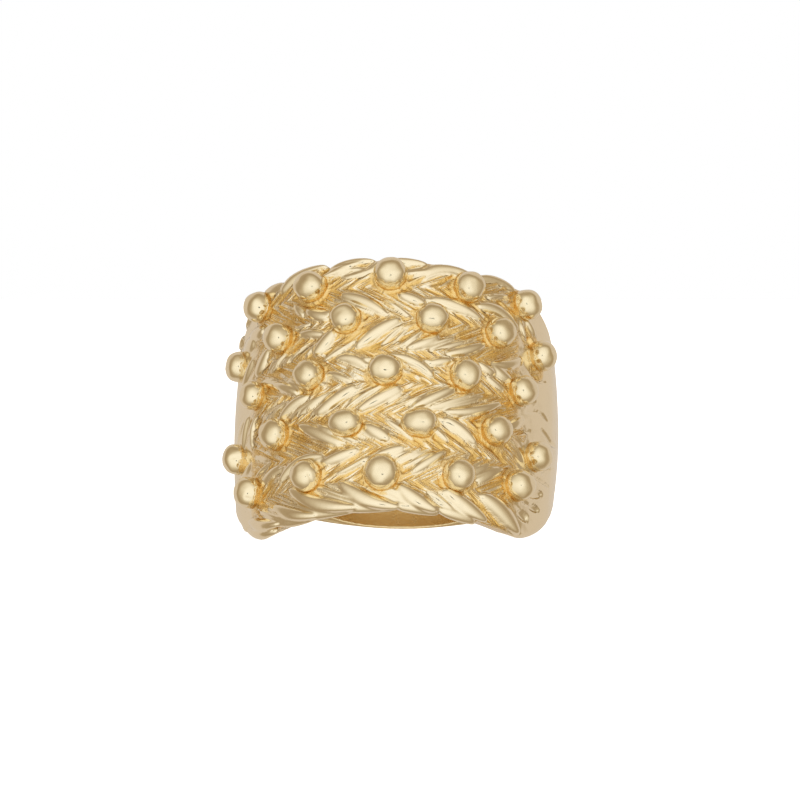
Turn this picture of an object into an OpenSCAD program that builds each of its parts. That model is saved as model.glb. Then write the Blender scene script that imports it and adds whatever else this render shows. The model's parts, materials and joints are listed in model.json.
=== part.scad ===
// Keeper ring in yellow gold: one casting with four plaits and a field of round studs on its wide head.
// The ring is drawn about a vertical finger axis with its head toward -Y.
// It is then laid down as it rests by itself, leaning back on the head's lower rim and the shank's back.

/* [Finger hole] */
// Diameter of the finger hole
hole_d = 20; // [16:0.5:24]

/* [Band] */
// Wall from the finger hole to the tops of the plaits
head_wall = 2.55; // [2:0.05:3.2]
// Wall at the back of the shank
shank_wall = 1.6; // [1.2:0.1:2.4]
// Height of the head along the finger, at its middle
head_height = 21.2; // [18:0.2:24]
// How much further the lower rim reaches at the head's corners than at its middle
corner_reach = 0.5; // [0:0.05:0.6]
// How much the upper rim falls from the head's middle to its corners
corner_drop = 0.6; // [0:0.05:0.8]
// Height of the shank at the back
shank_height = 8.2; // [5:0.2:10]
// Angle from the middle of the head at which the band starts to narrow
head_half_angle = 53; // [50:1:68]
// Angle from the middle of the head at which the narrow shank starts
shank_half_angle = 111; // [95:1:125]

/* [Plaits] */
// Depth of the hollows between the strands
plait_depth = 0.7; // [0.4:0.05:0.9]
// Height of the plaits' middle above the middle of the head
plait_lift = 0.15; // [0:0.05:0.6]
// Width of a strand of middling length
strand_width = 1.6; // [1:0.05:2]

/* [Studs] */
// Diameter of a stud
stud_d = 2.4; // [1.8:0.1:2.8]
// Height of a stud's centre above the tops of the plaits
stud_seat = -0.05; // [-0.2:0.05:0.3]

/* [Hidden] */
hole_r = hole_d / 2;
head_r = hole_r + head_wall;
shank_r = hole_r + shank_wall;
mm_per_degree = head_r * PI / 180;

// Sag of the outside from the middle of the height to the rims
head_sag = 0.3;
shank_sag = 1.1;
// Round of the rims on the outside
head_round = 0.85;
shank_round = 0.35;
// How far the rims draw in toward the finger hole
head_ease = 1.2;
shank_ease = 0.15;

// Angles between which the section changes from the head's to the shank's
THINNING_FROM = 100;
THINNING_TO = 165;

// Angles between which the relief fades out, on the left and on the right of the head
fade_left = [64, 82];
fade_right = [57, 80];

// The eight rows of strands, from the lower rim to the upper one.
// columns: slant (1 rises to the right, -1 falls), middle height, rise, width share,
//   share of the full height of the lower strands between neighbours, strands as [from angle, to angle]
PLAIT_ROWS = [
    [-1, -10.5, 2.2, 1.9, 0, [[-84, -63], [-71, -47], [-46, -26], [-38, -9], [-18, 5],
        [3, 20], [20, 37], [46, 61]]],
    [1, -6.6, 1.6, 1, 0.55, [[-54, -42], [-43, -22], [-25, -9], [-21, -8],
        [-5, 7], [9, 22], [33, 46]]],
    [-1, -4.2, 1.8, 1, 0.55, [[-76, -64], [-61, -48], [-35, -16], [-9, 2],
        [-1, 10], [20, 34], [49, 59]]],
    [1, -1.6, 1.8, 1, 0.55, [[-72, -63], [-60, -52], [-55, -44], [-44, -29], [-27, -11],
        [-11, 5], [8, 25], [20, 44], [47, 56]]],
    [-1, 1.0, 1.5, 1, 0.55, [[-74, -63], [-57, -45], [-48, -34], [-23, -12], [-20, -7],
        [-1, 17], [14, 24], [33, 41], [37, 49]]],
    [1, 3.3, 1.7, 1, 0.55, [[-73, -62], [-60, -51], [-52, -46], [-45, -37], [-28, -20], [-24, -16],
        [-12, 4], [6, 18], [20, 37], [39, 55]]],
    [-1, 6.0, 1.6, 1, 0.55, [[-76, -62], [-67, -55], [-39, -29], [-35, -24], [-32, -22],
        [-19, -1], [3, 13], [14, 35], [32, 53]]],
    [1, 9.5, 1.8, 1.1, 0, [[-76, -60], [-59, -42], [-46, -23], [-26, -6], [-13, 13],
        [7, 28], [31, 48]]]
];
// Span in degrees of a strand of middling length, which has the full rise and width of its row
MIDDLING_SPAN = 15;
// Width of the shortest strands as a share of the full width
SHORT_WIDTH_SHARE = 0.7;
// Where the middles of two neighbours are further apart than this, a lower strand shows between them
CLOSE_SPACING = 12;
// Shape of a strand across: 0.5 is half an ellipse, and a greater power is a softer crest
CREST_POWER = 0.6;
// How far a strand's foot runs past each of its stated ends, in mm
FOOT_PAST_END = 0.2;
// A strand reaches no further than this from its row's middle, in mm, and past its ends, in degrees
ROW_REACH = 2.4;
END_REACH = 5;

// The studs by row, from the upper rim to the lower one, each as [angle, height]
STUD_ROWS = [
    [[-58, 8], [-30, 8], [0, 8.3], [29, 7.9], [56, 8]],
    [[-76, 4.4], [-44, 4.4], [-16, 4.8], [15, 4.8], [42, 4.7], [65.5, 4.4]],
    [[-58, 0.6], [-29, 0.6], [-1, 0.5], [28, 0.6], [53, 0.7]],
    [[-75, -3.4], [-44, -3.5], [-14.5, -3.6], [12, -3.6], [41, -3.3], [63, -4]],
    [[-61, -7.1], [-29.5, -7.4], [-1.5, -7.6], [26, -7.4], [53, -7]]
];

// Grid of the cast body: fine columns over the relief, coarse ones round the shank
FINE_FROM = -98;
FINE_TO = 78;
FINE_STEP = 2;
COARSE_COLUMNS = 18;
ROUND_STEPS = 5;
FACE_STEPS = 44;
// The cast body's inner wall stands inside the finger hole, which then cuts it away
CORE_ALLOWANCE = 0.6;
// Smoothness of the studs and of the finger hole
STUD_SIDES = 32;
HOLE_SIDES = 128;
// Where the search for the ring's lean starts, in degrees, and how often it is made better
FIRST_LEAN = 20;
LEAN_ROUNDS = 4;

function smooth(t) = let (u = max(0, min(1, t))) u * u * (3 - 2 * u);
function mix(a, b, t) = a + (b - a) * t;

// 0 where the band has the head's height, 1 where it has the shank's
function shank_share(angle) =
    smooth((abs(angle) - head_half_angle) / (shank_half_angle - head_half_angle));

// How far the lower rim (side -1) or the upper one (side 1) is from the middle of the height
function rim_height(angle, side) =
    let (
        corner = side < 0 ? corner_reach : -corner_drop,
        head_half = head_height / 2 + corner * smooth(abs(angle) / head_half_angle)
    )
    mix(head_half, shank_height / 2, shank_share(angle));

// 0 where the section is the head's, 1 where it is the shank's
function thin_share(angle) = smooth((abs(angle) - THINNING_FROM) / (THINNING_TO - THINNING_FROM));

function relief_share(angle) =
    let (fade = angle < 0 ? fade_left : fade_right)
    1 - smooth((abs(angle) - fade[0]) / (fade[1] - fade[0]));

// The lower strands between the neighbours of a row, each as [from angle, to angle]
function lower_strands(strands) = [
    for (i = [0:len(strands) - 2])
        let (
            here = (strands[i][0] + strands[i][1]) / 2,
            next = (strands[i + 1][0] + strands[i + 1][1]) / 2,
            between = (here + next) / 2
        )
        if (next - here > CLOSE_SPACING) [between - MIDDLING_SPAN / 2, between + MIDDLING_SPAN / 2]
];

// Height of one strand, from 0 at its edge to 1 on its crest
function strand_fill(angle, height, slant, middle, rise, width, strand) =
    let (
        span = strand[1] - strand[0],
        share = min(1, span / MIDDLING_SPAN),
        half_run = span / 2 * mm_per_degree,
        half_rise = slant * rise / 2 * share,
        half_length = norm([half_run, half_rise]) + FOOT_PAST_END,
        half_width = strand_width / 2 * width * mix(SHORT_WIDTH_SHARE, 1, share),
        x = (angle - (strand[0] + strand[1]) / 2) * mm_per_degree,
        z = height - middle - plait_lift,
        turn = atan2(half_rise, half_run),
        along = (x * cos(turn) + z * sin(turn)) / half_length,
        across = (z * cos(turn) - x * sin(turn)) / half_width,
        left = 1 - along * along - across * across
    )
    left > 0 ? pow(left, CREST_POWER) : 0;

// Height of the relief at a place on the outside, from 0 in a hollow to 1 on a crest
function plait_fill(angle, height) =
    max([
        0,
        for (row = PLAIT_ROWS)
            if (abs(height - row[1] - plait_lift) < ROW_REACH)
                for (group = [[1, row[5]], [row[4], lower_strands(row[5])]])
                    for (strand = group[1])
                        if (angle > strand[0] - END_REACH && angle < strand[1] + END_REACH)
                            group[0] * strand_fill(angle, height, row[0], row[1], row[2], row[3], strand)
    ]);

// Depth of the outside below the crests
function hollow(angle, height) =
    plait_depth * relief_share(angle) * (1 - plait_fill(angle, height));

// One point of the section: its place on the smooth outline, the way it faces, its height along it
function relief_point(angle, r, z, facing, along) =
    let (depth = hollow(angle, along))
    [r - depth * cos(facing), z - depth * sin(facing)];

// The section at one angle as [radius, height], from the lower inner edge round to the upper one
function section(angle) =
    let (
        share = thin_share(angle),
        sag = mix(head_sag, shank_sag, share),
        rim = mix(head_round, shank_round, share),
        crown = mix(head_r, shank_r, share),
        core = hole_r - CORE_ALLOWANCE,
        edge_r = crown - sag - rim,
        low = rim - rim_height(angle, -1),
        high = rim_height(angle, 1) - rim,
        slope = mix(head_ease, shank_ease, share) * (edge_r - core) / (edge_r - hole_r)
    )
    concat(
        [[core, low - rim + slope]],
        [for (i = [0:ROUND_STEPS])
            let (facing = -90 + 90 * i / ROUND_STEPS)
            relief_point(angle, edge_r + rim * cos(facing), low + rim * sin(facing), facing,
                low + rim * facing * PI / 180)],
        [for (i = [1:FACE_STEPS - 1])
            let (z = mix(low, high, i / FACE_STEPS))
            relief_point(angle, crown - sag * pow(z / (z < 0 ? low : high), 2), z, 0, z)],
        [for (i = [0:ROUND_STEPS])
            let (facing = 90 * i / ROUND_STEPS)
            relief_point(angle, edge_r + rim * cos(facing), high + rim * sin(facing), facing,
                high + rim * facing * PI / 180)],
        [[core, high + rim - slope]]
    );

COARSE_STEP = (360 - FINE_TO + FINE_FROM) / COARSE_COLUMNS;
ANGLES = concat(
    [for (angle = [FINE_FROM:FINE_STEP:FINE_TO]) angle],
    [for (i = [1:COARSE_COLUMNS - 1]) FINE_TO + i * COARSE_STEP]
);
// Angles past the back are counted from the other side of the head
function signed(angle) = angle > 180 ? angle - 360 : angle;

SECTIONS = [for (angle = ANGLES) section(signed(angle))];
PER_SECTION = len(SECTIONS[0]);
BODY_POINTS = [
    for (i = [0:len(ANGLES) - 1])
        for (p = SECTIONS[i])
            [p[0] * sin(ANGLES[i]), -p[0] * cos(ANGLES[i]), p[1]]
];
// Each cell of the grid is split along its leveller diagonal, so that slanted strands stay smooth
BODY_FACES = [
    for (i = [0:len(ANGLES) - 1])
        for (j = [0:PER_SECTION - 1])
            let (
                next_i = (i + 1) % len(ANGLES),
                next_j = (j + 1) % PER_SECTION,
                a = i * PER_SECTION + j,
                b = next_i * PER_SECTION + j,
                c = next_i * PER_SECTION + next_j,
                d = i * PER_SECTION + next_j,
                rise_ac = abs(SECTIONS[i][j][0] - SECTIONS[next_i][next_j][0]),
                rise_bd = abs(SECTIONS[next_i][j][0] - SECTIONS[i][next_j][0])
            )
            each (rise_ac < rise_bd ? [[a, c, b], [a, d, c]] : [[a, d, b], [b, d, c]])
];

function stud_centre(stud) =
    let (
        height = stud[1] + plait_lift,
        straight = rim_height(stud[0], sign(height)) - head_round,
        r = head_r + stud_seat - head_sag * pow(height / straight, 2)
    )
    [r * sin(stud[0]), -r * cos(stud[0]), height];
STUDS = [for (row = STUD_ROWS) for (stud = row) [stud[0], stud_centre(stud)]];

// Leaning: the height of a point above the ring's centre when the ring leans back
function leaned_height(p, lean) = p[2] * cos(lean) - p[1] * sin(lean);
function lowest(points, lean) =
    let (
        heights = [for (p = points) leaned_height(p, lean)],
        low = min(heights)
    )
    points[search(low, heights)[0]];
// The lean at which the lowest point of the head and that of the shank are at one height
function settled(front, back, lean, rounds) =
    let (
        f = lowest(front, lean),
        b = lowest(back, lean),
        next = atan2(b[2] - f[2], b[1] - f[1])
    )
    rounds == 0 ? next : settled(front, back, next, rounds - 1);

OUTER_POINTS = [for (p = BODY_POINTS) if (norm([p[0], p[1]]) > hole_r) p];
LEAN = settled(
    [for (p = OUTER_POINTS) if (p[1] < 0) p],
    [for (p = OUTER_POINTS) if (p[1] > 0) p],
    FIRST_LEAN, LEAN_ROUNDS
);

// Places the ring so that it stands on z = 0 with the middle of its outline over the origin
function leaned(p) = [p[0], p[1] * cos(LEAN) + p[2] * sin(LEAN), leaned_height(p, LEAN)];
LEANED = concat(
    [for (p = OUTER_POINTS) leaned(p)],
    [for (stud = STUDS) for (side = [-1, 1]) leaned(stud[1]) + side * [stud_d / 2, stud_d / 2, 0]]
);
function middle_of(values) = (min(values) + max(values)) / 2;
SHIFT = -[
    middle_of([for (p = LEANED) p[0]]),
    middle_of([for (p = LEANED) p[1]]),
    min([for (p = LEANED) p[2]])
];

module cast_body() {
    polyhedron(points = BODY_POINTS, faces = BODY_FACES, convexity = 6);
}

// Each stud's ball is turned so that its pole faces outward
module studs() {
    for (stud = STUDS)
        translate(stud[1])
            rotate([90, 0, stud[0]])
                sphere(d = stud_d, $fn = STUD_SIDES);
}

module finger_hole() {
    cylinder(h = head_height * 2, r = hole_r, center = true, $fn = HOLE_SIDES);
}

module ring() {
    color("#d9b566")
        translate(SHIFT)
            rotate([-LEAN, 0, 0])
                difference() {
                    union() {
                        cast_body();
                        studs();
                    }
                    finger_hole();
                }
}

ring();
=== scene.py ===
"""Keeper ring in yellow gold, lying on its side: one casting with a plaited head and rows of round studs."""
import json
import logging
import math
from dataclasses import dataclass
from enum import Enum
from typing import Any, Sequence

import bpy
import numpy as np
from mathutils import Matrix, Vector


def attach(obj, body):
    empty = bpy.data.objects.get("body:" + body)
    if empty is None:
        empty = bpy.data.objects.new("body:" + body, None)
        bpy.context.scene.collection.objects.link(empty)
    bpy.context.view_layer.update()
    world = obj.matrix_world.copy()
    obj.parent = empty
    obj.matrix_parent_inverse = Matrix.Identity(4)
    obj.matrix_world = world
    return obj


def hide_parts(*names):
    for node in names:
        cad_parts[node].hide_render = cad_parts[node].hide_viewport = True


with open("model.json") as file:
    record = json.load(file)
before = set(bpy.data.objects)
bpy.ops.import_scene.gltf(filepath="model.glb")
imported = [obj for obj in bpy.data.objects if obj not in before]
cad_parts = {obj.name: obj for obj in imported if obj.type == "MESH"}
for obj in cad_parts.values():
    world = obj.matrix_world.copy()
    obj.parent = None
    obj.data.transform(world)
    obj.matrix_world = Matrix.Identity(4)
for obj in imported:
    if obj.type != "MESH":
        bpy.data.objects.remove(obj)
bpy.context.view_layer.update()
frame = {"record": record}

log = logging.getLogger("keeper_ring")

# Metres in a millimetre: sizes below are in millimetres, and meshes are in metres
MM = 0.001

# How the rough ground's pattern follows the plaits: the height of a row, the foot of the lowest one,
# how far the strands lean for each millimetre up, and how fast the pattern changes across and along them
ROW_HEIGHT = 2.6
LOWEST_ROW = -8.1
STRAND_LEAN = 1.83
CHANGE_ACROSS = 1.6
CHANGE_ALONG = 0.45

# How many times the pattern folds over into ridges
FOLDS = 6.0


class Rim(Enum):
    """One of the band's two rims, as the sign of its height."""

    LOWER = -1
    UPPER = 1


class TreeKind(Enum):
    """A kind of node tree: its type name, and the socket type of its groups' outputs."""

    SHADER = ("ShaderNodeTree", "NodeSocketFloat")
    GEOMETRY = ("GeometryNodeTree", "NodeSocketGeometry")


# The socket type of a group's input, by the Python type of its default value
SOCKETS = {float: "NodeSocketFloat", int: "NodeSocketInt", tuple: "NodeSocketVector"}

# The eight rows of strands, from the lower rim to the upper one, charted on the unrolled head.
# columns: from angle, from height, to angle, to height, width, crest, bow
# Angles are in degrees from the middle of the head. Heights, widths and bows are in millimetres.
# Crest is the share of the full relief, and bow is how far the middle bends upward.
PLAIT_ROWS: list[list[tuple[float, ...]]] = [
    [(-82, -8.6, -66, -9.7, 1.15, 0.8, -0.3), (-63, -9.1, -42.5, -10.6, 1.2, 1.15, -0.3),
     (-56, -8.7, -43, -10.4, 0.65, 0.7, 0), (-46.3, -8.9, -25.2, -10.8, 1.25, 1.15, -0.3),
     (-38.6, -7.9, -9.2, -10.4, 1.4, 1.15, -0.6), (-17.3, -8.1, 6, -10.5, 1.45, 1.15, -0.5),
     (4, -8.5, 19.5, -10.6, 1.45, 1.15, -0.17), (14.5, -8.8, 23.5, -10.2, 0.5, 0.6, 0),
     (20.8, -8.6, 39.5, -10.6, 1.45, 1.15, -0.1), (34.8, -8.6, 55.8, -10.8, 1.6, 1.15, 0.4)],
    [(-60, -6.2, -47, -5.4, 0.5, 0.7, 0.1), (-54.2, -6.8, -42, -6, 1.1, 0.85, 0),
     (-43.2, -7.4, -22.2, -6.1, 1, 1, 0.72), (-24.5, -6.6, -9.5, -5.7, 1.1, 1, 0),
     (-21.2, -7.9, -7.8, -6.5, 0.35, 0.6, 0), (-4.5, -6.4, 7, -5.5, 1, 0.9, 0),
     (8.8, -7.6, 21.5, -5.6, 1, 1, 0), (33.5, -7.8, 46.2, -5.9, 1, 0.75, 0.1)],
    [(-72, -5.2, -62, -4.6, 1, 0.7, 0), (-60.5, -4.2, -47.8, -5.4, 0.75, 0.6, 0),
     (-34.5, -3.1, -16.2, -5.3, 1.2, 1, 0.05), (-8.5, -3.8, 1.5, -5.1, 1.2, 1, 0.05),
     (-1, -3.3, 7.2, -4.6, 0.5, 0.7, 0), (-0.5, -3.3, 10, -5.1, 0.5, 0.7, 0.05),
     (20, -3, 33.5, -4.7, 1.1, 1, 0.14), (49.2, -3.3, 59, -5, 0.75, 0.55, 0)],
    [(-77, -2.4, -69, -0.6, 1, 0.7, 0.3), (-70, -3.2, -65, -0.5, 0.9, 0.85, 0.3),
     (-60.2, -3.6, -57, -1, 0.7, 0.9, 0.45), (-55.2, -1.5, -44.2, -0.6, 0.9, 0.6, 0),
     (-43.5, -2.4, -29, -1, 1.1, 1, 0.34), (-26.8, -2.6, -11, -0.6, 1.25, 1, 0.05),
     (-11, -2.7, 4.8, -0.7, 1.1, 1, 0), (2, -2.4, 8.5, -1.4, 0.35, 0.6, 0),
     (8.2, -2.5, 24.5, -0.4, 1, 1, 0), (20, -2.5, 44.2, -0.7, 1, 1, -0.38),
     (46.5, -2.7, 55.8, -1.3, 1, 0.8, -0.1)],
    [(-74, 1.8, -63, 0.5, 1.1, 0.9, 0.2), (-56.5, 1.6, -45, 1.1, 0.7, 0.7, 0),
     (-47.8, 0.9, -34, -0.6, 1, 1, 0.05), (-22.5, 0.7, -12.5, -0.3, 0.75, 0.7, 0),
     (-19.5, 1.7, -7.2, 0.7, 1, 0.95, 0.39), (-0.8, 1.7, 16.5, 0.1, 1, 1, 0.43),
     (13.5, 1.2, 23.5, 1.8, 0.9, 0.85, 0), (32.5, 2, 41, 1.4, 0.9, 0.9, -0.1),
     (35.8, 1.1, 45.5, 0.2, 0.7, 0.7, 0), (38.8, 2, 49.2, 1.3, 1.1, 0.9, -0.1)],
    [(-73, 2.4, -62, 4, 1.1, 0.9, 0.1), (-60.2, 2.4, -51, 4.1, 1.45, 0.95, -0.1),
     (-52.2, 1.7, -46, 3.3, 0.7, 0.6, 0), (-44.5, 2.2, -37, 2.9, 0.9, 0.6, 0),
     (-28.5, 2.3, -20, 4.2, 1.3, 1, -0.1), (-24.5, 1.6, -15.8, 2.9, 0.5, 0.7, 0),
     (-12.2, 2.4, 4.2, 4.8, 1.25, 1, 0.16), (0.8, 2.5, 8, 4.4, 0.35, 0.6, 0),
     (6, 2.3, 18.2, 3.6, 1, 1, -0.1), (19.8, 2.1, 36.8, 3.7, 1, 1, -0.15),
     (20.8, 2.7, 33.2, 4, 0.35, 0.6, 0), (38.8, 2.1, 54.8, 3.5, 1, 0.9, -0.29)],
    [(-75.8, 5.7, -62.2, 5.6, 1.65, 0.95, -0.1), (-67.8, 6.3, -55, 5.9, 1.3, 0.95, -0.1),
     (-38.8, 7, -33.2, 5.7, 0.75, 0.8, 0), (-38.5, 4.8, -29.5, 5, 0.5, 0.7, 0),
     (-35.8, 4.3, -24, 3.8, 0.9, 0.9, 0.1), (-32.8, 6.2, -22, 5.2, 1.1, 0.95, -0.1),
     (-19, 7, -0.8, 5, 1.15, 1, 0.28), (0.2, 6.3, 9, 4.7, 0.4, 0.6, 0), (2.8, 6.8, 13.2, 6, 1.1, 1, 0.05),
     (13.7, 6.5, 34.8, 5.5, 1.05, 1, 0.28), (31.8, 6.5, 52.8, 5.6, 1.2, 1, 0.6),
     (53.8, 6.7, 57.5, 5, 0.5, 0.7, 0), (56.8, 6.9, 63.5, 5.9, 0.9, 0.85, 0.1)],
    [(-76, 8.2, -60, 9.2, 1.4, 0.9, 0.2), (-60, 8.6, -43.5, 8.9, 1.4, 0.9, 0.3),
     (-46.5, 8.3, -24, 9.7, 1.2, 1, 0.6), (-42, 7.9, -27, 8.8, 0.4, 0.7, 0.4),
     (-24.5, 8.8, -5.5, 9.6, 1.15, 0.74, 0.6), (-22, 8.4, -8, 8.9, 0.4, 0.7, 0.3),
     (-11.8, 8.2, 14, 9.4, 1.15, 0.76, 0.7), (8, 8.1, 30.5, 9.2, 1.1, 0.74, 0.55),
     (11, 7.8, 27, 8.7, 0.4, 0.7, 0.5), (31.5, 8.5, 52, 8.8, 1.15, 0.85, 0.7),
     (36.8, 7.4, 48, 8.2, 0.55, 0.8, 0.1)],
]

# The lobes of the lower rim, which the first row's strands lie on.
# columns: from angle, to angle, crest
RIM_LOBES: list[tuple[float, float, float]] = [
    (-84, -63, 0.7), (-71, -47, 0.7), (-46, -26, 0.7), (-38, -9, 0.7), (-18, 5, 0.7), (3, 20, 0.7),
    (20, 35, 0.7), (51, 63, 0.35),
]

# Shallow creases and small facets in the plain gold on the head's right.
# columns as in the rows above, with the crease's depth in millimetres for its crest
CREASES: list[tuple[float, ...]] = [
    (58.8, -0.1, 63.5, 0.65, 0.3, 0.12, 0), (57, -0.7, 65.2, -0.1, 0.3, 0.12, 0),
    (65.2, -0.1, 71.8, -0.5, 0.3, 0.12, 0.1), (67, -1.35, 80, -2.35, 0.4, 0.15, 0),
    (48.5, -3.05, 60.5, -2, 0.35, 0.14, 0), (63.2, -5.55, 75, -5.55, 0.3, 0.12, 0),
    (68.5, -5, 75.8, -4, 0.3, 0.12, 0), (56.2, -7.85, 61, -7.9, 0.25, 0.12, 0),
    (61, -7.1, 70, -6.5, 0.75, 0.26, 0), (61.2, -8, 68.2, -7.95, 0.6, 0.25, 0),
    (54.5, -8.9, 61.5, -9.1, 0.8, 0.28, 0), (58.8, 5.6, 61.5, 4.7, 0.8, 0.3, 0),
    (59.5, 2.9, 65.5, 2.5, 0.45, 0.16, 0), (65.5, 2.3, 70.5, 2.7, 0.3, 0.12, 0),
]

# Plain swellings on the upper rim at the head's left.
# columns as in the rows above, with the swelling's height in millimetres for its crest
SWELLINGS: list[tuple[float, ...]] = [
    (-76, 7.8, -71, 8.6, 1.3, 0.32, 0), (-83, 6.4, -79, 7.3, 1.5, 0.3, 0),
]

# Patches of the right flank that wear hasn't smoothed.
# columns: angle, height, reach in millimetres
ROUGH_PATCHES: list[tuple[float, float, float]] = [
    (60, 5.5, 1.5), (64.5, 3.2, 1.3), (55.5, -2.6, 0.8),
]

# The studs, row by row from the upper rim to the lower one.
# columns: angle, height, diameter, width share across the ring, height share along the finger, lean, satin
# Lean draws the stud out to the left, as a share of its radius. Satin is 1 on a stud with a duller polish.
STUD_ROWS: list[list[tuple[float, ...]]] = [
    [(-58.2, 7.95, 2.4, 1, 1, 0, 0), (-30.2, 7.95, 2.45, 1.08, 0.95, 0, 0), (0, 8.35, 2.55, 1, 0.97, 0, 1),
     (29, 7.9, 2.4, 1, 1, 0, 1), (56, 8, 2.4, 1, 1, 0, 1)],
    [(-77, 4.4, 2.4, 1, 1, 0, 1), (-44, 4.4, 2.4, 1, 1, 0, 0), (-15.8, 4.85, 2.4, 1, 0.97, 0, 0),
     (15.2, 4.85, 2.45, 1.02, 0.94, 0, 1), (42, 4.75, 2.4, 1, 0.98, 0, 1), (65.5, 4.45, 2.4, 1, 1, 0, 1)],
    [(-58.2, 0.6, 2.2, 1, 1, 0, 0), (-29.2, 0.65, 2.4, 1, 0.96, 0, 1), (-1, 0.5, 2.55, 1.04, 0.93, 0, 0),
     (27.8, 0.65, 2.4, 1, 1, 0, 1), (53.2, 0.7, 2.3, 1, 1, 0, 1)],
    [(-74.5, -3.4, 2.4, 1, 1, 0, 0), (-44.2, -3.45, 2.4, 1, 1, 0, 0),
     (-14.5, -3.65, 2.4, 1.04, 0.88, 0.1, 1), (12.2, -3.65, 2.45, 1, 0.9, 0.3, 1),
     (40.8, -3.25, 2.4, 1.02, 0.95, 0, 1), (63.2, -3.95, 2.3, 1, 1, 0, 1)],
    [(-60.2, -7.1, 2.4, 1, 1, 0, 0), (-29.5, -7.4, 2.4, 1, 1.02, 0, 0), (-1.5, -7.65, 2.7, 1, 1, 0, 1),
     (26.2, -7.4, 2.5, 1, 1, 0, 1), (52.8, -6.95, 2.4, 1, 1, 0, 0)],
]

# Dents and scratches on the studs' tops, as the photograph shows them.
# columns: the stud's row and place in it, and from right, from up, to right, to up
# The last four are shares of the stud's radius, seen from the photograph's direction.
STUD_MARKS: list[tuple[int, int, float, float, float, float]] = [
    (4, 1, 0.15, 0.1, 0.38, -0.45), (4, 0, -0.15, -0.28, 0.6, -0.33), (3, 0, -0.3, 0.12, 0.2, 0.2),
    (2, 1, 0.3, -0.35, 0.5, -0.25), (0, 3, -0.5, -0.2, -0.3, -0.5),
]


@dataclass(frozen=True)
class PhotoView:
    """The direction that the photograph was taken from, in the ring's own frame."""

    azimuth: float = 3.5
    elevation: float = -20.8

    def toward(self) -> np.ndarray:
        """The direction from the ring to the camera."""
        a, e = math.radians(self.azimuth), math.radians(self.elevation)
        return np.array([math.sin(a) * math.cos(e), -math.cos(a) * math.cos(e), math.sin(e)])

    def on_ball(self, right: float, up: float) -> np.ndarray:
        """The way from a ball's middle to a place on it.

        Args:
            right: how far right the camera sees the place, as a share of the radius.
            up: how far up it sees the place.

        Returns:
            The direction in the ring's own frame.
        """
        a = math.radians(self.azimuth)
        across = np.array([math.cos(a), math.sin(a), 0.0])
        toward = self.toward()
        depth = math.sqrt(max(0.0, 1.0 - right * right - up * up))
        return right * across + up * np.cross(toward, across) + depth * toward


def step(value: np.ndarray, start: float, end: float) -> np.ndarray:
    """An eased step from 0 to 1 as the value goes from start to end."""
    share = np.clip((value - start) / (end - start), 0.0, 1.0)
    return share * share * (3.0 - 2.0 * share)


def mix(low: Any, high: Any, share: Any) -> Any:
    """The value at share of the way from low to high."""
    return low + (high - low) * share


@dataclass(frozen=True)
class RingPlace:
    """Where the ring lies: its centre in metres, and its finger hole's axis."""

    centre: np.ndarray
    axis: np.ndarray
    hole_r: float

    @classmethod
    def from_record(cls, record: dict[str, Any]) -> "RingPlace":
        """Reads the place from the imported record's finger hole mount.

        Args:
            record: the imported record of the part.

        Returns:
            The ring's place in the row frame.
        """
        mount = next(m for m in record["mounts"] if m["name"] == "finger_hole")
        axis = np.array(mount["axis"], float)
        return cls(np.array(mount["pos_m"], float), axis / np.linalg.norm(axis), mount["dims"]["r_mm"])

    def directions(self, vectors: np.ndarray) -> np.ndarray:
        """Turns vectors of the ring's own frame, along the array's last side, into the row frame."""
        side = np.array([1.0, 0.0, 0.0])
        return vectors @ np.array([side, np.cross(self.axis, side), self.axis])

    def points(self, places: np.ndarray) -> np.ndarray:
        """Places of the ring's own frame, in millimetres, as points of the row frame in metres."""
        return self.centre + self.directions(places) * MM


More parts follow.
